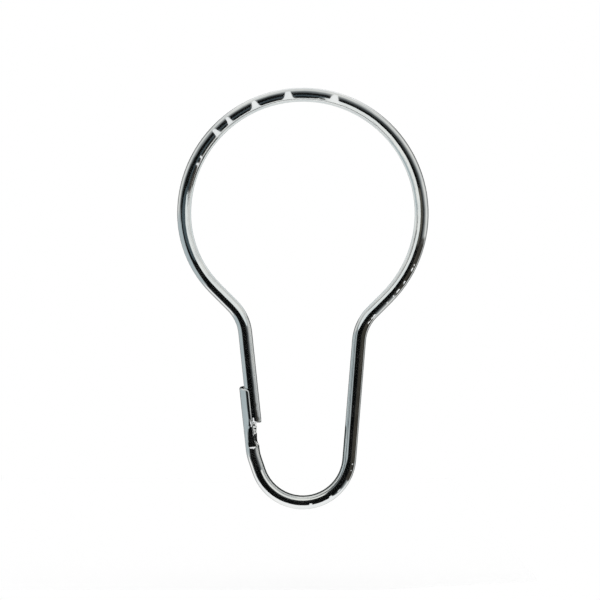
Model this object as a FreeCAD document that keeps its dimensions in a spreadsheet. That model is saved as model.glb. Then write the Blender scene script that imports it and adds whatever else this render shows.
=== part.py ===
import FreeCAD, Part
import math
import os
import Sketcher
from FreeCAD import Vector

# Curtain hook: one length of round wire, bent into a pear-shaped eye for the rod, with a narrow loop below
# it for the curtain. One end of the wire is cut square. The other is flattened and rolled into a trough, the
# catch, that the first end springs into. The hook lies in the XZ plane, with the centre of the eye at the
# origin, the loop hanging down and the front towards -Y.

# Driving dimensions, in millimetres and degrees. A drop is measured down from the centre of the eye, and a
# height up from the root of the catch, along the trough.
SIZES = {
    "wire_diameter": 2.3,
    "eye_diameter": 37.3,  # inside, across the rod
    "flank_radius": 16.5,  # inside, the tighter lower left of the eye
    "shoulder_angle": 45.0,  # from the level of the eye's centre down to where its round ends
    "shoulder_radius": 7.5,  # at the wire's centre, where the eye turns down into the arms
    "throat_width": 15.6,  # inside, between the arms
    "throat_drop": 26.1,
    "loop_diameter": 13.2,  # inside
    "loop_drop": 40.4,
    "arm_inset": 0.3438,  # by which the free arm's line passes inside the centre of the loop's wire
    "leg_splay": 12.8,  # from the free arm's line, the stretch from the loop up to the catch
    "root_radius": 7.5,  # at the wire's centre, the bend from the leg into the catch
    "stem_length": 0.4,  # straight round wire above that bend
    "end_rounding": 0.2,  # on the rim of the square-cut end
    "catch_length": 9.7,  # along the axis of the trough
    "catch_wall": 0.7,
    "flare_height": 4.6,  # where the round wire has opened out to the full trough
    "seat_clearance": 0.1,  # all round the free end in the trough
    "seat_length": 5.8,  # of the free end that lies in the trough
    "seat_gap": 0.4,  # from the free end down to where the round bottom of the trough begins
    "mouth_turn": 12.0,  # of the trough's open side, from the plane of the hook towards the front
    "mouth_inset": 0.06,  # from the trough's axis back to the lips of its open side
    "mouth_height": 0.2,  # where the open side begins, at the surface of the round wire
    "mouth_radius": 1.6,  # of the curve by which it goes in from there to the lips
    "tip_slope": 16.0,  # the end of the trough is lower at its lips than at its back
    "tip_skew": 7.0,  # and lower in front than behind
    "tip_corner": 0.5,  # rounding of the lips' corners there
    "outer_rounding": 0.3,  # of the trough's outer edges
    "press_depth": 0.18,  # of the flats that the press leaves at the root, in front and behind
    "press_ramp": 0.35,  # length over which they run out at either end
    "press_height": 3.3,  # where they begin to run out into the flare
}

FLARE_SPANS = 5  # the flare is lofted through evenly spaced sections
MARGIN = 6.0  # how far a cutting shape reaches past the catch
EDGE_FIT = 1e-4  # how near an edge lies to a plane that it belongs to

# How a sketch counts the points of its lines and arcs, and its own axes, which start at its origin
START, END, CENTRE = 1, 2, 3
LEVEL_AXIS, UPRIGHT_AXIS = -1, -2

# Axes and points, as expressions
X_AXIS = "1; 0; 0"
Y_AXIS = "0; 1; 0"
Z_AXIS = "0; 0; 1"
FOOT_X = "wire_path.Constraints.foot_x"
FOOT_Z = "wire_path.Constraints.foot_z"
FREE_END_X = "wire_path.Constraints.free_end_x"
FREE_END_Z = "wire_path.Constraints.free_end_z"
FREE_ARM_TILT = "(wire_path.Constraints.free_arm_angle - 90 deg)"

doc = FreeCAD.newDocument("curtain_hook")
sheet = doc.addObject("Spreadsheet::Sheet", "sizes")
for row, (alias, value) in enumerate(SIZES.items(), start=1):
    sheet.set(f"A{row}", alias)
    sheet.set(f"B{row}", str(value))
    sheet.setAlias(f"B{row}", alias)
doc.recompute()

body = doc.addObject("PartDesign::Body", "curtain_hook")
body.Label = "curtain_hook"
body.Placement = FreeCAD.Placement()  # the eye's centre is at the origin


class Size:
    """A length or an angle, known both as a number and as the sheet's expression for it."""

    def __init__(self, value, text):
        self.value = value
        self.text = text

    def __add__(self, other):
        return Size(self.value + other.value, f"({self.text} + {other.text})")

    def __sub__(self, other):
        return Size(self.value - other.value, f"({self.text} - {other.text})")

    def __mul__(self, other):
        return Size(self.value * other.value, f"({self.text} * {other.text})")

    def __neg__(self):
        return Size(-self.value, f"(-{self.text})")

    def __str__(self):
        return self.text


def plain(value):
    return Size(value, str(value))


size = {alias: Size(value, "sizes." + alias) for alias, value in SIZES.items()}
nought = plain(0)
half = plain(0.5)
upright = plain(90)
margin = plain(MARGIN)
wire_radius = size["wire_diameter"] * half
eye_radius = size["eye_diameter"] * half + wire_radius
flank_radius = size["flank_radius"] + wire_radius
loop_radius = size["loop_diameter"] * half + wire_radius
throat_half = size["throat_width"] * half + wire_radius
arm_pass = loop_radius - size["arm_inset"]
seat_radius = wire_radius + size["seat_clearance"]
trough_radius = seat_radius + size["catch_wall"]
trough_offset = trough_radius - wire_radius  # between the two axes, so that the backs line up
free_end_height = size["catch_length"] - size["seat_length"]
seat_floor = free_end_height - size["seat_gap"]
cut_top = size["catch_length"] + margin


def flare_radius(height):
    """The radius of the flare, from the round wire to the full trough, with no change of slope at either."""
    value = (1 - math.cos(math.pi * height.value / SIZES["flare_height"])) / 2
    opening = Size(value, f"((1 - cos(180 deg * {height.text} / sizes.flare_height)) / 2)")
    return wire_radius + trough_offset * opening


def direction(degrees):
    angle = math.radians(degrees)
    return Vector(math.cos(angle), math.sin(angle), 0)


def left_of(along):
    return Vector(-along.y, along.x, 0)


def bend(point_in, along_in, point_out, along_out, radius):
    """The arc from one line to the next: its start, end and centre, and whether it turns clockwise."""
    turn = along_in.x * along_out.y - along_in.y * along_out.x
    gap = point_out - point_in
    corner = point_in + along_in * ((gap.x * along_out.y - gap.y * along_out.x) / turn)
    reach = radius * math.tan(math.acos(along_in.dot(along_out)) / 2)
    start = corner - along_in * reach
    centre = start + left_of(along_in) * math.copysign(radius, turn)
    return start, corner + along_out * reach, centre, turn < 0


def wire_route():
    """The runs of the wire's centreline, from the free end to the root of the catch: (start, end) for a
    straight run and (start, end, centre, clockwise) for a bend. Also the places in the throat that the arms
    pass through, and the foot of the catch, where the level of its root meets the trough's axis."""
    flank_start = Vector(-eye_radius.value, 0, 0)
    flank_centre = flank_start + Vector(flank_radius.value, 0, 0)
    flank_end = flank_centre + direction(180 + SIZES["shoulder_angle"]) * flank_radius.value
    eye_end = direction(-SIZES["shoulder_angle"]) * eye_radius.value
    loop_centre = Vector(0, -SIZES["loop_drop"], 0)
    left_throat = Vector(-throat_half.value, -SIZES["throat_drop"], 0)
    right_throat = Vector(throat_half.value, -SIZES["throat_drop"], 0)
    left_neck = direction(90 + SIZES["shoulder_angle"])
    right_neck = direction(-90 - SIZES["shoulder_angle"])

    # Each arm runs from its place in the throat past the loop's side, and the right one touches it there
    to_throat = right_throat - loop_centre
    throat_angle = math.atan2(to_throat.y, to_throat.x)
    touch_angle = math.degrees(throat_angle - math.acos(loop_radius.value / to_throat.Length))
    pass_angle = math.degrees(math.pi - throat_angle + math.acos(arm_pass.value / to_throat.Length))
    loop_start = loop_centre + direction(touch_angle) * loop_radius.value
    loop_end = loop_centre + direction(pass_angle + SIZES["leg_splay"]) * loop_radius.value
    right_arm = direction(touch_angle - 90)
    free_arm = direction(pass_angle - 90)
    leg = direction(pass_angle - 90 + SIZES["leg_splay"])

    offset = left_of(free_arm) * trough_offset.value
    left_shoulder = bend(left_throat, free_arm, flank_end, left_neck, SIZES["shoulder_radius"])
    right_shoulder = bend(eye_end, right_neck, right_throat, right_arm, SIZES["shoulder_radius"])
    root_bend = bend(loop_end, leg, left_throat + offset, free_arm, SIZES["root_radius"])
    root = root_bend[1] + free_arm * SIZES["stem_length"]
    foot = root - offset
    free_end = foot + free_arm * free_end_height.value
    runs = [
        (free_end, left_shoulder[0]),
        left_shoulder,
        (left_shoulder[1], flank_end),
        (flank_end, flank_start, flank_centre, True),
        (flank_start, eye_end, Vector(0, 0, 0), True),
        (eye_end, right_shoulder[0]),
        right_shoulder,
        (right_shoulder[1], loop_start),
        (loop_start, loop_end, loop_centre, True),
        (loop_end, root_bend[0]),
        root_bend,
        (root_bend[1], root),
    ]
    return runs, left_throat, right_throat, foot


def turned(axis, degrees):
    """The expression for a turn about an axis, by a size or an expression."""
    return f"rotation(vector({axis}); {degrees})"


def placed(place, *turns):
    """The expression for a placement: a point, as three expressions, and then turns, outermost first."""
    return f"placement(vector({'; '.join(place)}); {' * '.join(turns)})"


def shifted(across, along, up, *turns):
    """The expression that carries a placement along its own axes, and then turns it there."""
    return " * " + placed((across.text, along.text, up.text), turned(Z_AXIS, nought), *turns)


# The foot of the catch, with the trough's axis upright, as the origin planes see it
tilt = turned(Y_AXIS, "-" + FREE_ARM_TILT)
level_at_foot = placed((FOOT_X, "0", FOOT_Z), tilt)
level_at_mouth = placed((FOOT_X, "0", FOOT_Z), tilt, turned(Z_AXIS, -size["mouth_turn"]))
level_at_free_end = placed((FREE_END_X, "0", FREE_END_Z), tilt)
tilt_in_front = turned(Z_AXIS, FREE_ARM_TILT)
front_at_foot = placed((FOOT_X, FOOT_Z, "0"), tilt_in_front)
lips_back = shifted(-size["mouth_inset"], nought, nought)
front_at_lips = placed((FOOT_X, FOOT_Z, "0"), tilt_in_front, turned(Y_AXIS, -size["mouth_turn"])) + lips_back
side_at_foot = placed(("0", FOOT_Z, FOOT_X), turned(X_AXIS, "-" + FREE_ARM_TILT))


def add_sketch(name, role, offset=None):
    """Add a sketch on one of the body's origin planes, moved from there by an expression."""
    sketch = body.newObject("Sketcher::SketchObject", name)
    plane = next(plane for plane in body.Origin.OriginFeatures if plane.Role == role)
    sketch.AttachmentSupport = (plane, "")
    sketch.MapMode = "FlatFace"
    if offset:
        sketch.setExpression("AttachmentOffset", offset)
    return sketch


def relate(sketch, *constraint):
    sketch.addConstraint(Sketcher.Constraint(*constraint))


def hold(sketch, name, measure, *constraint):
    """Add a named dimension, bound to the sheet."""
    index = sketch.addConstraint(Sketcher.Constraint(*constraint, measure.value))
    sketch.renameConstraint(index, name)
    sketch.setExpression("Constraints." + name, measure.text)


def hold_angle(sketch, name, degrees, *lines):
    """Hold a line at an angle from the sketch's level axis, or from another line, bound to the sheet."""
    index = sketch.addConstraint(Sketcher.Constraint("Angle", *lines, math.radians(degrees.value)))
    sketch.renameConstraint(index, name)
    sketch.setExpression("Constraints." + name, f"{degrees.text} * 1 deg")


def report(sketch, name, *constraint):
    """Add a named dimension that only follows the sketch, for other sketches to read."""
    index = sketch.addConstraint(Sketcher.Constraint(*constraint))
    sketch.setDriving(index, False)
    sketch.renameConstraint(index, name)


def add_line(sketch, start, end, construction=False):
    return sketch.addGeometry(Part.LineSegment(start, end), construction)


def add_arc(sketch, first, last, centre):
    """Add the arc that turns counter-clockwise from one point to the other."""
    circle = Part.Circle(centre, Vector(0, 0, 1), (first - centre).Length)
    from_angle = math.atan2(first.y - centre.y, first.x - centre.x)
    to_angle = math.atan2(last.y - centre.y, last.x - centre.x)
    return sketch.addGeometry(Part.ArcOfCircle(circle, from_angle, to_angle))


def add_run(sketch, run):
    """Add one run of the wire's route: its number, and the points where the route enters and leaves it."""
    if len(run) == 2:
        return add_line(sketch, *run), START, END
    start, end, centre, clockwise = run
    if clockwise:
        return add_arc(sketch, end, start, centre), END, START
    return add_arc(sketch, start, end, centre), START, END


def add_circle(sketch, radius, shift=nought):
    """Add a circle on the sketch's level axis, shifted to the left of its origin."""
    centre = Vector(-shift.value, 0, 0)
    circle = sketch.addGeometry(Part.Circle(centre, Vector(0, 0, 1), radius.value))
    relate(sketch, "PointOnObject", circle, CENTRE, LEVEL_AXIS)
    hold(sketch, "radius", radius, "Radius", circle)
    hold(sketch, "shift", -shift, "DistanceX", circle, CENTRE)


def add_outline(sketch, corners):
    """Add a closed outline of straight lines, with each corner held by its two measures."""
    points = [Vector(across.value, up.value, 0) for across, up in corners]
    lines = [add_line(sketch, start, end) for start, end in zip(points, points[1:] + points[:1])]
    for line, before, (across, up) in zip(lines, lines[-1:] + lines, corners):
        relate(sketch, "Coincident", before, END, line, START)
        hold(sketch, f"across_{line}", across, "DistanceX", line, START)
        hold(sketch, f"up_{line}", up, "DistanceY", line, START)


def make(kind, name, **settings):
    """Add a feature to the body. A setting that is a size is bound to the sheet."""
    feature = body.newObject("PartDesign::" + kind, name)
    for setting, value in settings.items():
        if isinstance(value, Size):
            feature.setExpression(setting, value.text)
        else:
            setattr(feature, setting, value)
    doc.recompute()
    return feature


def edges_at(shape, sketch, coordinate):
    """The edges along which one of a sketch's own coordinates is nought, nearest to its origin first."""
    found = []
    for index, edge in enumerate(shape.Edges, start=1):
        middle = edge.valueAt((edge.FirstParameter + edge.LastParameter) / 2)
        points = [middle] + [vertex.Point for vertex in edge.Vertexes]
        seen = [sketch.Placement.inverse().multVec(point) for point in points]
        if all(abs(getattr(point, coordinate)) < EDGE_FIT for point in seen):
            found.append((seen[0].Length, f"Edge{index}"))
    return [name for _, name in sorted(found)]


def draw_wire_path():
    """The wire's centreline, with every bend tangent to the runs beside it."""
    sketch = add_sketch("wire_path", "XZ_Plane")
    runs, left_throat, right_throat, foot = wire_route()
    chain = [add_run(sketch, run) for run in runs]
    for (before, _, leaves), (after, enters, _) in zip(chain, chain[1:]):
        relate(sketch, "Tangent", before, leaves, after, enters)
    numbers = [number for number, _, _ in chain]
    free_arm, left_shoulder, left_neck, flank, eye, right_neck = numbers[:6]
    right_shoulder, right_arm, loop, leg, root_bend, stem = numbers[6:]

    # The eye, and the tighter flank on its left, which meet level with the eye's centre
    relate(sketch, "Coincident", eye, CENTRE, LEVEL_AXIS, START)
    relate(sketch, "PointOnObject", flank, START, LEVEL_AXIS)
    hold(sketch, "eye_radius", eye_radius, "Radius", eye)
    hold(sketch, "flank_radius", flank_radius, "Radius", flank)
    hold_angle(sketch, "left_neck_angle", upright + size["shoulder_angle"], left_neck)
    hold_angle(sketch, "right_neck_angle", -upright - size["shoulder_angle"], right_neck)
    hold(sketch, "left_shoulder_radius", size["shoulder_radius"], "Radius", left_shoulder)
    hold(sketch, "right_shoulder_radius", size["shoulder_radius"], "Radius", right_shoulder)

    # The arms, through their places in the throat
    left_place = sketch.addGeometry(Part.Point(left_throat), True)
    right_place = sketch.addGeometry(Part.Point(right_throat), True)
    relate(sketch, "PointOnObject", left_place, START, free_arm)
    relate(sketch, "PointOnObject", right_place, START, right_arm)
    relate(sketch, "Symmetric", left_place, START, right_place, START, UPRIGHT_AXIS)
    hold(sketch, "throat_half", throat_half, "DistanceX", left_place, START, LEVEL_AXIS, START)
    hold(sketch, "throat_drop", size["throat_drop"], "DistanceY", left_place, START, LEVEL_AXIS, START)
    hold(sketch, "arm_pass", arm_pass, "Distance", loop, CENTRE, free_arm)

    # The loop, the leg and the root of the catch
    relate(sketch, "PointOnObject", loop, CENTRE, UPRIGHT_AXIS)
    relate(sketch, "Parallel", stem, free_arm)
    hold(sketch, "loop_drop", size["loop_drop"], "DistanceY", loop, CENTRE, LEVEL_AXIS, START)
    hold(sketch, "loop_radius", loop_radius, "Radius", loop)
    hold_angle(sketch, "leg_splay", size["leg_splay"], free_arm, leg)
    hold(sketch, "root_radius", size["root_radius"], "Radius", root_bend)
    hold(sketch, "stem_length", size["stem_length"], "Distance", stem)

    # The trough's axis carries on from the free arm, and the root lies beside it
    free_end = runs[0][0]
    root = runs[-1][1]
    root_line = add_line(sketch, root, foot, True)
    axis_line = add_line(sketch, foot, free_end, True)
    relate(sketch, "Coincident", stem, END, root_line, START)
    relate(sketch, "Coincident", root_line, END, axis_line, START)
    relate(sketch, "Perpendicular", root_line, axis_line)
    relate(sketch, "Tangent", axis_line, END, free_arm, START)
    hold(sketch, "trough_offset", trough_offset, "Distance", root_line)
    hold(sketch, "free_end_height", free_end_height, "Distance", axis_line)
    along = runs[0][1] - free_end
    report(sketch, "foot_x", "DistanceX", axis_line, START, foot.x)
    report(sketch, "foot_z", "DistanceY", axis_line, START, foot.y)
    report(sketch, "free_end_x", "DistanceX", free_arm, START, free_end.x)
    report(sketch, "free_end_z", "DistanceY", free_arm, START, free_end.y)
    report(sketch, "free_arm_angle", "Angle", free_arm, math.atan2(along.y, along.x))
    doc.recompute()
    return sketch


def make_catch_blank():
    """Round wire that opens out to the trough's full radius, with its back in line with the wire's."""
    root = add_sketch("root_section", "XY_Plane", level_at_foot)
    add_circle(root, wire_radius, trough_offset)
    sections = []
    for span in range(1, FLARE_SPANS):
        height = size["flare_height"] * plain(span / FLARE_SPANS)
        lifted = level_at_foot + shifted(nought, nought, height)
        section = add_sketch(f"flare_section_{span}", "XY_Plane", lifted)
        add_circle(section, flare_radius(height), trough_radius - flare_radius(height))
        sections.append(section)
    flare_top = shifted(nought, nought, size["flare_height"])
    barrel = add_sketch("barrel_section", "XY_Plane", level_at_foot + flare_top)
    add_circle(barrel, trough_radius)
    sections.append(barrel)
    barrel_top = size["catch_length"] + trough_radius
    make("AdditiveLoft", "flare", Profile=root, Sections=sections)
    make("Pad", "barrel", Profile=barrel, Length=barrel_top - size["flare_height"])


def cut_seat():
    """The round hollow of the trough, with a ball-shaped bottom towards the root. It is drawn on the side of
    its back, so that the hollow's seam lies there, clear of the lips."""
    sketch = add_sketch("seat_profile", "XZ_Plane", front_at_foot)
    ball_centre = Vector(0, seat_floor.value, 0)
    ball_foot = ball_centre - Vector(0, seat_radius.value, 0)
    wall_foot = ball_centre - Vector(seat_radius.value, 0, 0)
    wall_top = Vector(-seat_radius.value, cut_top.value, 0)
    axis_top = Vector(0, cut_top.value, 0)
    ball = add_arc(sketch, wall_foot, ball_foot, ball_centre)
    wall = add_line(sketch, wall_foot, wall_top)
    top = add_line(sketch, wall_top, axis_top)
    axis = add_line(sketch, axis_top, ball_foot)
    relate(sketch, "Tangent", ball, START, wall, START)
    relate(sketch, "Coincident", wall, END, top, START)
    relate(sketch, "Coincident", top, END, axis, START)
    relate(sketch, "Coincident", axis, END, ball, END)
    relate(sketch, "PointOnObject", ball, CENTRE, UPRIGHT_AXIS)
    relate(sketch, "Vertical", wall)
    relate(sketch, "Horizontal", top)
    relate(sketch, "PointOnObject", axis, START, UPRIGHT_AXIS)
    relate(sketch, "PointOnObject", axis, END, UPRIGHT_AXIS)
    hold(sketch, "seat_radius", -seat_radius, "DistanceX", wall, START)
    hold(sketch, "seat_floor", seat_floor, "DistanceY", wall, START)
    hold(sketch, "cut_top", cut_top, "DistanceY", axis, START)
    make("Groove", "seat", Profile=sketch, ReferenceAxis=(sketch, ["V_Axis"]), Angle=360)


def cut_mouth():
    """The open side of the trough, down to its lips, which leaves the round wire by a curve."""
    sketch = add_sketch("mouth_profile", "XZ_Plane", front_at_lips)
    wire_edge = wire_radius - trough_offset + size["mouth_inset"]
    ramp_rise = math.sqrt(wire_edge.value * (2 * SIZES["mouth_radius"] - wire_edge.value))
    ramp_top = Vector(0, SIZES["mouth_height"] + ramp_rise, 0)
    ramp_centre = ramp_top + Vector(SIZES["mouth_radius"], 0, 0)
    ramp_foot = ramp_centre - Vector(0, SIZES["mouth_radius"], 0)
    low_corner = Vector(MARGIN, ramp_foot.y, 0)
    high_corner = Vector(MARGIN, cut_top.value, 0)
    lip_top = Vector(0, cut_top.value, 0)
    ramp = add_arc(sketch, ramp_top, ramp_foot, ramp_centre)
    floor = add_line(sketch, ramp_foot, low_corner)
    side = add_line(sketch, low_corner, high_corner)
    top = add_line(sketch, high_corner, lip_top)
    lip = add_line(sketch, lip_top, ramp_top)
    beginning = sketch.addGeometry(Part.Point(Vector(wire_edge.value, SIZES["mouth_height"], 0)), True)
    relate(sketch, "PointOnObject", beginning, START, ramp)
    relate(sketch, "Tangent", lip, END, ramp, START)
    relate(sketch, "Tangent", ramp, END, floor, START)
    relate(sketch, "Coincident", floor, END, side, START)
    relate(sketch, "Coincident", side, END, top, START)
    relate(sketch, "Coincident", top, END, lip, START)
    relate(sketch, "Horizontal", floor)
    relate(sketch, "Vertical", side)
    relate(sketch, "Horizontal", top)
    relate(sketch, "Vertical", lip)
    relate(sketch, "PointOnObject", lip, END, UPRIGHT_AXIS)
    hold(sketch, "mouth_radius", size["mouth_radius"], "Radius", ramp)
    hold(sketch, "wire_edge", wire_edge, "DistanceX", beginning, START)
    hold(sketch, "mouth_height", size["mouth_height"], "DistanceY", beginning, START)
    hold(sketch, "reach", margin, "DistanceX", side, START)
    hold(sketch, "cut_top", cut_top, "DistanceY", side, END)
    make("Pocket", "mouth", Profile=sketch, SideType="Symmetric", Length=margin + margin)
    return sketch


def cut_tip(mouth_profile):
    """The end of the trough, cut off askew, and the roundings of its corners and outer edges."""
    slant = (turned(Y_AXIS, size["tip_slope"]), turned(X_AXIS, size["tip_skew"]))
    tip_place = shifted(nought, nought, size["catch_length"], *slant)
    sketch = add_sketch("tip_outline", "XY_Plane", level_at_mouth + tip_place)
    add_circle(sketch, margin)
    tip = make("Pocket", "tip", Profile=sketch, Reversed=True, Length=margin)
    lip_edges = edges_at(tip.Shape, mouth_profile, "x")
    corners = [name for name in edges_at(tip.Shape, sketch, "z") if name in lip_edges]
    tip = make("Fillet", "tip_corners", Base=(tip, corners), Radius=size["tip_corner"])
    outer_rim = edges_at(tip.Shape, sketch, "z")[-1]
    make("Fillet", "outer_edges", Base=(tip, [outer_rim]), Radius=size["outer_rounding"])


def run_wire(path):
    """The round wire, from the free end in the trough to the root of the catch."""
    section = add_sketch("wire_section", "XY_Plane", level_at_free_end)
    add_circle(section, wire_radius)
    make("AdditivePipe", "wire", Profile=section, Spine=path)
    return section


def press_root():
    """The flats that the press leaves where it spreads the wire, in front and behind."""
    sketch = add_sketch("press_profile", "YZ_Plane", side_at_foot)
    low_end = -size["press_ramp"]
    high_end = size["press_height"] + size["press_ramp"]
    flat_foot = wire_radius - size["press_depth"]
    flat_top = flare_radius(size["press_height"]) - size["press_depth"]
    for side in (plain(-1), plain(1)):
        corners = [
            (wire_radius * side, low_end),
            (flat_foot * side, nought),
            (flat_top * side, size["press_height"]),
            (flare_radius(high_end) * side, high_end),
            (margin * side, high_end),
            (margin * side, low_end),
        ]
        add_outline(sketch, corners)
    return make("Pocket", "press_flats", Profile=sketch, SideType="Symmetric", Length=margin)


wire_path = draw_wire_path()
make_catch_blank()
cut_seat()
cut_tip(cut_mouth())
wire_section = run_wire(wire_path)
pressed = press_root()
free_rim = edges_at(pressed.Shape, wire_section, "z")[0]
make("Fillet", "free_end", Base=(pressed, [free_rim]), Radius=size["end_rounding"])

faulty = [item.Name for item in doc.Objects if {"Invalid", "Error"} & set(item.State)]
if faulty:
    raise ValueError(f"these did not build: {faulty}")
if body.Shape.isNull() or not body.Shape.isValid() or len(body.Shape.Solids) != 1:
    raise ValueError("the hook is not one sound solid")
os.makedirs("parts", exist_ok=True)
body.Shape.exportStep(f"parts/{body.Label}.step")
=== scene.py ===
import math

import bmesh
import bpy
from mathutils import Matrix


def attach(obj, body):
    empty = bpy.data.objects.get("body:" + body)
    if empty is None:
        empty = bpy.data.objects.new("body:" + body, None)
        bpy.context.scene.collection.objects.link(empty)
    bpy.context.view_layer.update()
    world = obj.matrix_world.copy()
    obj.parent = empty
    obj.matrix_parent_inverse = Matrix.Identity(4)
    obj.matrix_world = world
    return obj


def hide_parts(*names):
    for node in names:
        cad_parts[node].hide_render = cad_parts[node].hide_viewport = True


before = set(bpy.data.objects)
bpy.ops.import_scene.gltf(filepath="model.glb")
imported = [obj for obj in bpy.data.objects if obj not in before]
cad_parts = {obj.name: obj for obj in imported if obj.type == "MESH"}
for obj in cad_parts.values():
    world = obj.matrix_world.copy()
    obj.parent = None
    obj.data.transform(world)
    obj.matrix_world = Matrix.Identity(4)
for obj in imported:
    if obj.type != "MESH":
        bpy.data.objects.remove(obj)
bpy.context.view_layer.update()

mm = 0.001
noiseSpan = (0.3, 0.7)  # where most of a noise texture's values lie
noiseStops = (0.35, 0.65)  # the same for two tones
print("frame loaded:", sorted(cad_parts))


def hexColour(text):  # sRGB hex to linear RGBA
    parts = [int(text[i:i + 2], 16) / 255 for i in (1, 3, 5)]
    return [p / 12.92 if p <= 0.04045 else ((p + 0.055) / 1.055) ** 2.4 for p in parts] + [1.0]


def addNode(tree, kind, inputs=None, **settings):  # an input is a plain value, or a socket to link from
    node = tree.nodes.new(kind)
    for name, value in settings.items():
        setattr(node, name, value)
    for key, value in (inputs or {}).items():
        if isinstance(value, bpy.types.NodeSocket):
            tree.links.new(value, node.inputs[key])
        else:
            node.inputs[key].default_value = value
    return node


def setStops(ramp, stops):  # (place, hex colour) pairs
    while len(ramp.elements) < len(stops):
        ramp.elements.new(1.0)
    for element, (place, colour) in zip(ramp.elements, stops):
        element.position = place
        element.color = hexColour(colour)


def emptyTree(holder):
    holder.use_nodes = True
    holder.node_tree.nodes.clear()
    return holder.node_tree


def addPiece(name, bm):
    mesh = bpy.data.meshes.new(name)
    bm.to_mesh(mesh)
    bm.free()
    piece = bpy.data.objects.new(name, mesh)
    bpy.context.scene.collection.objects.link(piece)
    return piece


def sheet(acrossMm, upMm):  # flat rectangle round the origin, in x and y
    bm = bmesh.new()
    bmesh.ops.create_grid(bm, x_segments=1, y_segments=1, size=0.5)
    bmesh.ops.scale(bm, verts=bm.verts, vec=(acrossMm * mm, upMm * mm, 1))
    return bm


def turn(bm, degrees, axis):
    bmesh.ops.rotate(bm, verts=bm.verts, matrix=Matrix.Rotation(math.radians(degrees), 3, axis))


def move(bm, x, y, z):  # in millimetres
    bmesh.ops.translate(bm, verts=bm.verts, vec=(x * mm, y * mm, z * mm))


hook = {
    "mergeMm": 0.0005,  # the solid's loose triangles are joined below this
    "smoothDegrees": 30,  # edges sharper than this stay crisp
    "patchPitchMm": 3.0,  # handled patches
    "ripplePitchMm": 2.2,  # slow ripple that bending leaves in the wire
    "rippleMm": 0.04,
    "grainPitchMm": 0.45,  # drawing grain, far finer in truth, drawn as coarse as it needs to show
    "grainMm": 0.0006,
    "roughness": (0.05, 0.12),
    "plate": ("#E6E9EA", "#F0F1F0"),  # darkest and palest chrome
}


def makeHook():
    bm = bmesh.new()
    bm.from_mesh(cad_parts["curtain_hook"].data)
    bmesh.ops.remove_doubles(bm, verts=bm.verts, dist=hook["mergeMm"] * mm)
    for face in bm.faces:
        face.smooth = True
        face.material_index = 0
    for edge in bm.edges:
        edge.smooth = edge.calc_face_angle(0.0) < math.radians(hook["smoothDegrees"])
    return addPiece("hookWire", bm)


# Bright chrome plate on drawn and bent steel wire: a mirror with a faint ripple from the bending, a trace of
# the drawing grain under the plate, and here and there a softer patch where it has been handled
def chromedWire():
    material = bpy.data.materials.new("chromedWire")
    tree = emptyTree(material)
    place = addNode(tree, "ShaderNodeTexCoord").outputs["Object"]
    patch = addNode(tree, "ShaderNodeTexNoise", {
        "Vector": place, "Scale": 1 / (hook["patchPitchMm"] * mm), "Detail": 4.0,
    })
    gloss = addNode(tree, "ShaderNodeMapRange", {
        "Value": patch.outputs["Fac"], "From Min": noiseSpan[0], "From Max": noiseSpan[1],
        "To Min": hook["roughness"][0], "To Max": hook["roughness"][1],
    })
    tint = addNode(tree, "ShaderNodeValToRGB", {"Fac": patch.outputs["Fac"]})
    setStops(tint.color_ramp, list(zip(noiseStops, hook["plate"])))
    ripple = addNode(tree, "ShaderNodeTexNoise", {
        "Vector": place, "Scale": 1 / (hook["ripplePitchMm"] * mm), "Detail": 1.0,
    })
    grain = addNode(tree, "ShaderNodeTexNoise", {
        "Vector": place, "Scale": 1 / (hook["grainPitchMm"] * mm), "Detail": 2.0,
    })
    waved = addNode(tree, "ShaderNodeBump", {
        "Height": ripple.outputs["Fac"], "Distance": hook["rippleMm"] * mm,
    })
    drawn = addNode(tree, "ShaderNodeBump", {
        "Height": grain.outputs["Fac"], "Distance": hook["grainMm"] * mm, "Normal": waved.outputs["Normal"],
    })
    shader = addNode(tree, "ShaderNodeBsdfPrincipled", {
        "Base Color": tint.outputs["Color"], "Metallic": 1.0,
        "Roughness": gloss.outputs["Result"], "Normal": drawn.outputs["Normal"],
    })
    addNode(tree, "ShaderNodeOutputMaterial", {"Surface": shader.outputs["BSDF"]})
    return material


wire = makeHook()
wire.data.materials.append(chromedWire())
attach(wire, "root")
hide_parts("curtain_hook")
print("hook made:", len(wire.data.polygons), "faces")


paper = {
    "heightMm": -62.0,  # the hook hangs clear of it
    "acrossMm": (-420.0, 40.0),
    "depthMm": (-11.5, 480.0),  # its near edge is below the hook
    "cornerMm": ((12.5, -11.5), (26.0, 0.0)),  # its near right corner is cut off along this line, in x and y
    "white": "#FFFFFF",
    # painted shade in the chrome: the paper's glow darkens from the hook back
    "falloff": [(0.0, "#FFFFFF"), (0.3, "#FAFAF8"), (1.0, "#A9ABAB")],  # from the hook back
    "falloffMm": (0.0, 45.0),
}


def paperFloor():
    (x0, x1), (y0, y1) = paper["acrossMm"], paper["depthMm"]
    bm = sheet(x1 - x0, y1 - y0)
    move(bm, (x0 + x1) / 2, (y0 + y1) / 2, paper["heightMm"])
    (cutX0, cutY0), (cutX1, cutY1) = paper["cornerMm"]
    bmesh.ops.bisect_plane(
        bm, geom=bm.verts[:] + bm.edges[:] + bm.faces[:], clear_outer=True,
        plane_co=(cutX0 * mm, cutY0 * mm, paper["heightMm"] * mm), plane_no=(cutY1 - cutY0, cutX0 - cutX1, 0),
    )
    return addPiece("paperFloor", bm)
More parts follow.
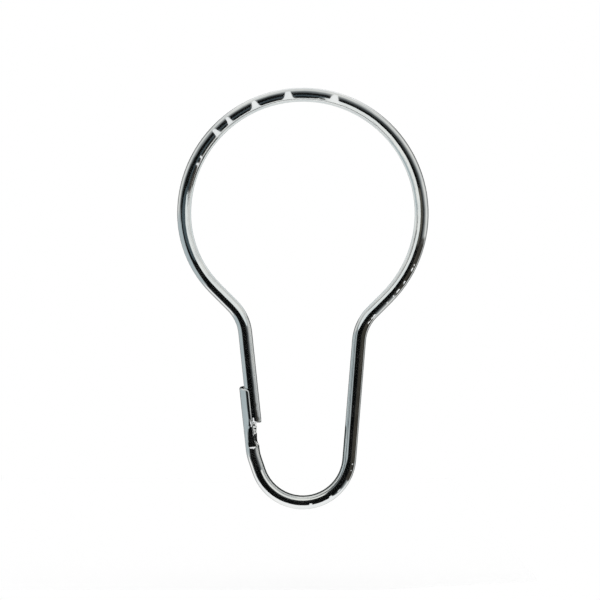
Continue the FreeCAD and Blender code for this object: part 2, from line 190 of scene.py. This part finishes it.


# White matt paper, laid smooth: plain white with a soft shadow, and in the chrome a glowing white with
# painted shade that darkens it towards the back
def mattPaper():
    material = bpy.data.materials.new("mattPaper")
    tree = emptyTree(material)
    place = addNode(tree, "ShaderNodeTexCoord").outputs["Object"]
    parts = addNode(tree, "ShaderNodeSeparateXYZ", {"Vector": place})
    low, high = paper["falloffMm"]
    far = addNode(tree, "ShaderNodeMapRange", {
        "Value": parts.outputs["Y"], "From Min": low * mm, "From Max": high * mm,
    })
    tone = addNode(tree, "ShaderNodeValToRGB", {"Fac": far.outputs["Result"]})
    setStops(tone.color_ramp, paper["falloff"])
    path = addNode(tree, "ShaderNodeLightPath")
    shown = addNode(tree, "ShaderNodeMath", {
        0: path.outputs["Is Glossy Ray"], 1: path.outputs["Is Transmission Ray"],
    }, operation="MAXIMUM")
    matt = addNode(tree, "ShaderNodeBsdfDiffuse", {"Color": hexColour(paper["white"])})
    white = addNode(tree, "ShaderNodeEmission", {"Color": tone.outputs["Color"], "Strength": 1.0})
    mix = addNode(tree, "ShaderNodeMixShader", {0: shown.outputs[0], 1: matt.outputs[0], 2: white.outputs[0]})
    addNode(tree, "ShaderNodeOutputMaterial", {"Surface": mix.outputs[0]})
    return material


floor = paperFloor()
floor.data.materials.append(mattPaper())
print("floor laid")


# the cards' painted glow is uneven over this size
cardCloudMm = 25.0  # unevenness of the paint


# Glowing card for painted reflections: a slightly uneven tone; a side card fades out towards its edges
def cardTone(name, tones, side=None):
    material = bpy.data.materials.new(name)
    tree = emptyTree(material)
    place = addNode(tree, "ShaderNodeTexCoord").outputs["Object"]
    cloud = addNode(tree, "ShaderNodeTexNoise", {
        "Vector": place, "Scale": 1 / (cardCloudMm * mm), "Detail": 3.0,
    })
    tone = addNode(tree, "ShaderNodeValToRGB", {"Fac": cloud.outputs["Fac"]})
    setStops(tone.color_ramp, list(zip(noiseStops, tones)))
    paint = addNode(tree, "ShaderNodeEmission", {"Color": tone.outputs["Color"], "Strength": 1.0}).outputs[0]
    if side:
        parts = addNode(tree, "ShaderNodeSeparateXYZ", {"Vector": place})
        share = None
        for axis, (low, high) in (("Y", side["yMm"]), ("Z", side["zMm"])):
            for edge, inner in ((low, low + side["fadeMm"]), (high, high - side["fadeMm"])):
                fade = addNode(tree, "ShaderNodeMapRange", {
                    "Value": parts.outputs[axis], "From Min": edge * mm, "From Max": inner * mm,
                }, interpolation_type="SMOOTHSTEP").outputs["Result"]
                if share:
                    both = addNode(tree, "ShaderNodeMath", {0: share, 1: fade}, operation="MULTIPLY")
                    fade = both.outputs[0]
                share = fade
        clear = addNode(tree, "ShaderNodeBsdfTransparent")
        paint = addNode(tree, "ShaderNodeMixShader", {0: share, 1: clear.outputs[0], 2: paint}).outputs[0]
    addNode(tree, "ShaderNodeOutputMaterial", {"Surface": paint})
    return material


def addCard(name, bm, tones, side=None):  # out of the camera's sight: only the chrome sees it
    card = addPiece(name, bm)
    card.data.materials.append(cardTone(name + "Tone", tones, side))
    card.visible_camera = False
    card.visible_diffuse = False
    card.visible_shadow = False


sides = {  # large cards to the left and the right
    "greySide": {
        "xMm": -70, "yMm": (-44, 80), "zMm": (-62, 6), "fadeMm": 14, "tones": ("#ABB7BB", "#BCC6C8"),
    },
    "darkSide": {
        "xMm": 150, "yMm": (-230, 56), "zMm": (-135, -26), "fadeMm": 8, "tones": ("#1D1B18", "#4B4841"),
    },
}


def sideCards():
    for name, side in sides.items():
        (y0, y1), (z0, z1) = side["yMm"], side["zMm"]
        bm = sheet(z1 - z0, y1 - y0)
        turn(bm, 90, "Y")
        move(bm, side["xMm"], (y0 + y1) / 2, (z0 + z1) / 2)
        addCard(name, bm, side["tones"], side)


discs = {  # round cards that face the eye and the loop; kept is from where in degrees, and how far round
    "eyeFront": {"atMm": (0, -12, 0), "radiusMm": 16, "kept": (172, 268), "tones": ("#DCE6E8", "#F2F3F0")},
    "eyeBack": {"atMm": (0, 14, 0), "radiusMm": 12, "kept": (0, 360), "tones": ("#DCE6E8", "#F2F3F0")},
    "loopFront": {"atMm": (0, -5, -40.4), "radiusMm": 5, "kept": (200, 100), "tones": ("#E6E8E4", "#F4F4F0")},
    "flankFront": {
        "atMm": (-21.5, -14.5, -2), "radiusMm": 7, "kept": (0, 360), "tones": ("#434F53", "#58646A"),
    },
}


def roundCards():
    for name, disc in discs.items():
        bm = bmesh.new()
        bmesh.ops.create_circle(bm, cap_ends=True, cap_tris=True, segments=72, radius=disc["radiusMm"] * mm)
        start, sweep = disc["kept"]
        gone = []
        for face in bm.faces:
            middle = face.calc_center_median()
            if (math.degrees(math.atan2(middle.y, middle.x)) - start) % 360 > sweep:
                gone.append(face)
        bmesh.ops.delete(bm, geom=gone, context="FACES")
        turn(bm, 90, "X")
        move(bm, *disc["atMm"])
        addCard(f"{name}Card", bm, disc["tones"])


rings = {  # dim parts of rings before the left and the right of the eye; kept as in the discs
    "umber": {"yMm": -6, "radiiMm": (2.0, 14.0), "kept": (148, 22), "tones": ("#38332F", "#4A443E")},
    "slate": {"yMm": -15, "radiiMm": (12.5, 18.8), "kept": (79, 96), "tones": ("#343E43", "#4A5559")},
    "olive": {"yMm": -15, "radiiMm": (13.0, 24.0), "kept": (-15, 28), "tones": ("#4C4A44", "#58564F")},
}


def dimRings():
    for name, ring in rings.items():
        bm = bmesh.new()
        ends = [bm.verts.new((radius * mm, 0, 0)) for radius in ring["radiiMm"]]
        edge = bm.edges.new(ends)
        start, sweep = ring["kept"]
        turn(bm, start, "Z")
        bmesh.ops.spin(
            bm, geom=ends + [edge], cent=(0, 0, 0), axis=(0, 0, 1), angle=math.radians(sweep), steps=24,
        )
        turn(bm, 90, "X")
        move(bm, 0, ring["yMm"], 0)
        addCard(f"{name}Ring", bm, ring["tones"])


whiteChip = ("#F4F6F6", "#FFFFFF")
# painted reflections: glowing chips seen only in the chrome, as white breaks, glints and a dark line
chips = {  # narrow cards that point out from the wire; ends are the shares of the width at both ends
    # painted highlights: white reflections that make the breaks on the top of the eye
    "slip": {  # for the breaks on the top of the eye and at its upper left
        "yMm": -5.0,
        "reachMm": (-7.5, 13.0),  # from the place that is given, inwards and outwards
        "ends": (1.0, 0.65),
        "at": [(5.25, 19.05, 74.59, 1.65), (-2.4, 19.6, 96.98, 1.45), (-8.0, 18.2, 113.73, 1.25),
               (-12.2, 15.4, 128.39, 0.9), (-14.12, 13.28, 136.76, 0.9), (-4.35, 2.46, 150.51, 0.56),
               (-4.52, 2.14, 154.66, 0.4)],  # x, z, the way out in degrees, and width
        "tones": whiteChip,
    },
    "fineGlint": {  # outside the lower right of the eye and the right of the loop
        "yMm": -1.8,
        "reachMm": (1.7, 5.5),
        "ends": (0.4, 1.0),
        "at": [(17.99, -8.27, -25, 0.4), (17.63, -9.02, -27, 1.1), (16.4, -11.1, -34, 0.9),
               (15.34, -12.51, -39, 1.5), (14.62, -13.35, -42, 0.45), (13.7, -14.4, -45, 0.4),
               (11.35, -16.55, -42, 0.75), (10.95, -17.2, -35, 0.4), (10.3, -18.1, -25, 0.6),
               (7.64, -41.7, -10, 0.35), (7.4, -42.7, -17, 0.2)],
        "tones": whiteChip,
    },
    "broadGlint": {  # outside the bottom of the loop
        "yMm": -3.0,
        "reachMm": (1.7, 4.7),
        "ends": (0.4, 1.0),
        "at": [(6.65, -46.8, -44, 1.3), (4.31, -46.84, -56, 1.1), (1.18, -47.54, -81, 1.0)],
        "tones": whiteChip,
    },
    "stripGlint": {  # inside the right arm, for its light band
        "yMm": -3.0,
        "reachMm": (1.8, 4.4),
        "ends": (0.8, 1.0),
        "at": [(8.62, -29.9, 178.2, 27.0)],
        "tones": ("#A4ACAE", "#B8C0C2"),
    },
    # painted dark reflection: a dark chip that gives the thin dark line
    "lineGlint": {  # beside the strip, for the thin dark line
        "yMm": -3.0,
        "reachMm": (4.4, 7.5),
        "ends": (0.9, 1.0),
        "at": [(8.62, -29.9, 178.2, 30.0)],
        "tones": ("#454A4B", "#585D5E"),
    },
}


def outwardChips():
    for name, chip in chips.items():
        near, far = chip["reachMm"]
        innerShare, outerShare = chip["ends"]
        for number, (x, z, degrees, width) in enumerate(chip["at"], start=1):
            bm = sheet(far - near, width)
            inner = [v for v in bm.verts if v.co.x < 0]
            outer = [v for v in bm.verts if v.co.x > 0]
            bmesh.ops.scale(bm, verts=inner, vec=(1, innerShare, 1))
            bmesh.ops.scale(bm, verts=outer, vec=(1, outerShare, 1))
            move(bm, (near + far) / 2, 0, 0)
            turn(bm, degrees, "Z")
            turn(bm, 90, "X")
            move(bm, x, chip["yMm"], z)
            addCard(f"{name}{number}", bm, chip["tones"])


# painted reflections: glowing cards seen only in the chrome, white highlights on the catch and the eye,
# painted shade in the loop
uprights = {  # cards that face the hook: across, depth, up and tones
    "seat": ((-8.3, -4.5), -4, (-38.2, -34.9), ("#E8ECEC", "#FFFFFF")),  # for the open side of the catch
    "ramp": ((-9.4, -8.3), -4, (-35.5, -34.4), ("#E8ECEC", "#FFFFFF")),  # for the bottom of its mouth
    "lip": ((-5.5, -1.5), 10, (-36.5, -34.4), ("#D8DCDC", "#F4F4F2")),  # for its right wall, from behind
    "crown": ((-26, 26), 10, (23.5, 50), ("#F0F2F2", "#FFFFFF")),  # for the top of the eye, from behind
    "shade": ((-5.5, 5.5), 3, (-45, -35), ("#2A2E2C", "#3E4442")),  # for the inside of the loop, from behind
}


def uprightCards():
    for name, ((x0, x1), y, (z0, z1), tones) in uprights.items():
        bm = sheet(x1 - x0, z1 - z0)
        turn(bm, 90, "X")
        move(bm, (x0 + x1) / 2, y, (z0 + z1) / 2)
        addCard(f"{name}Card", bm, tones)


sideCards()
roundCards()
dimRings()
outwardChips()
uprightCards()
print("cards placed")


tent = {
    "lean": (0.052, 0.5, 0.126),  # how the dark front of the tent leans to the left and down
    "spread": (-0.1, 0.0, -0.118),  # how far it spreads to the sides and upright
    "cloud": 0.05,  # unevenness of its edge
    "cloudScale": 3.0,  # over directions, so it has no size in millimetres
    "stops": [  # from the front to the back
        (0.0, "#070808"), (0.05, "#0D0E0E"), (0.08, "#1E2020"), (0.11, "#3C3F40"), (0.165, "#6C7071"),
        (0.245, "#9EA1A1"), (0.345, "#C8CAC9"), (0.42, "#E2E3E0"), (0.5, "#E6E6E3"), (0.58, "#DEDEDB"),
        (0.66, "#C8C9C7"), (0.78, "#A2A4A3"), (0.88, "#707272"), (0.94, "#2C2E2E"), (1.0, "#101111"),
    ],
    "plain": "#FFFFFF",  # what all but the chrome sees
}


def lightTent():
    world = bpy.data.worlds.new("lightTent")
    bpy.context.scene.world = world
    tree = emptyTree(world)
    way = addNode(tree, "ShaderNodeTexCoord").outputs["Generated"]
    lean = addNode(tree, "ShaderNodeVectorMath", {0: way, 1: tent["lean"]}, operation="DOT_PRODUCT")
    square = addNode(tree, "ShaderNodeVectorMath", {0: way, 1: way}, operation="MULTIPLY")
    spread = addNode(tree, "ShaderNodeVectorMath", {
        0: square.outputs[0], 1: tent["spread"],
    }, operation="DOT_PRODUCT")
    front = addNode(tree, "ShaderNodeMath", {
        0: lean.outputs["Value"], 1: spread.outputs["Value"],
    }, operation="ADD")
    cloud = addNode(tree, "ShaderNodeTexNoise", {"Vector": way, "Scale": tent["cloudScale"], "Detail": 3.0})
    drift = addNode(tree, "ShaderNodeMapRange", {
        "Value": cloud.outputs["Fac"], "From Min": noiseSpan[0], "From Max": noiseSpan[1],
        "To Min": 0.5 - tent["cloud"], "To Max": 0.5 + tent["cloud"],
    })
    fade = addNode(tree, "ShaderNodeMath", {0: front.outputs[0], 1: drift.outputs["Result"]}, operation="ADD")
    tone = addNode(tree, "ShaderNodeValToRGB", {"Fac": fade.outputs[0]})
    setStops(tone.color_ramp, tent["stops"])
    path = addNode(tree, "ShaderNodeLightPath")
    shown = addNode(tree, "ShaderNodeMix", {
        "Factor": path.outputs["Is Glossy Ray"], 6: hexColour(tent["plain"]), 7: tone.outputs["Color"],
    }, data_type="RGBA")
    back = addNode(tree, "ShaderNodeBackground", {"Color": shown.outputs[2], "Strength": 1.0})
    addNode(tree, "ShaderNodeOutputWorld", {"Surface": back.outputs[0]})


camera = {
    "distanceMm": 800.0,
    "fieldMm": 100.0,  # seen across the picture
    "aimMm": (-0.483, -14.425),  # x and z at the middle of the picture
    "sensorMm": 36.0,
    "clipMm": (10.0, 10000.0),
}


def frontCamera():
    data = bpy.data.cameras.new("frontCamera")
    front = bpy.data.objects.new("frontCamera", data)
    bpy.context.scene.collection.objects.link(front)
    x, z = camera["aimMm"]
    front.location = (x * mm, -camera["distanceMm"] * mm, z * mm)
    front.rotation_euler = (math.radians(90), 0, 0)
    data.sensor_width = camera["sensorMm"]
    data.lens = camera["sensorMm"] * camera["distanceMm"] / camera["fieldMm"]
    data.clip_start, data.clip_end = [clip * mm for clip in camera["clipMm"]]
    bpy.context.scene.camera = front


lightTent()
frontCamera()
bpy.context.scene.view_settings.view_transform = "Standard"
print("tent and camera set")
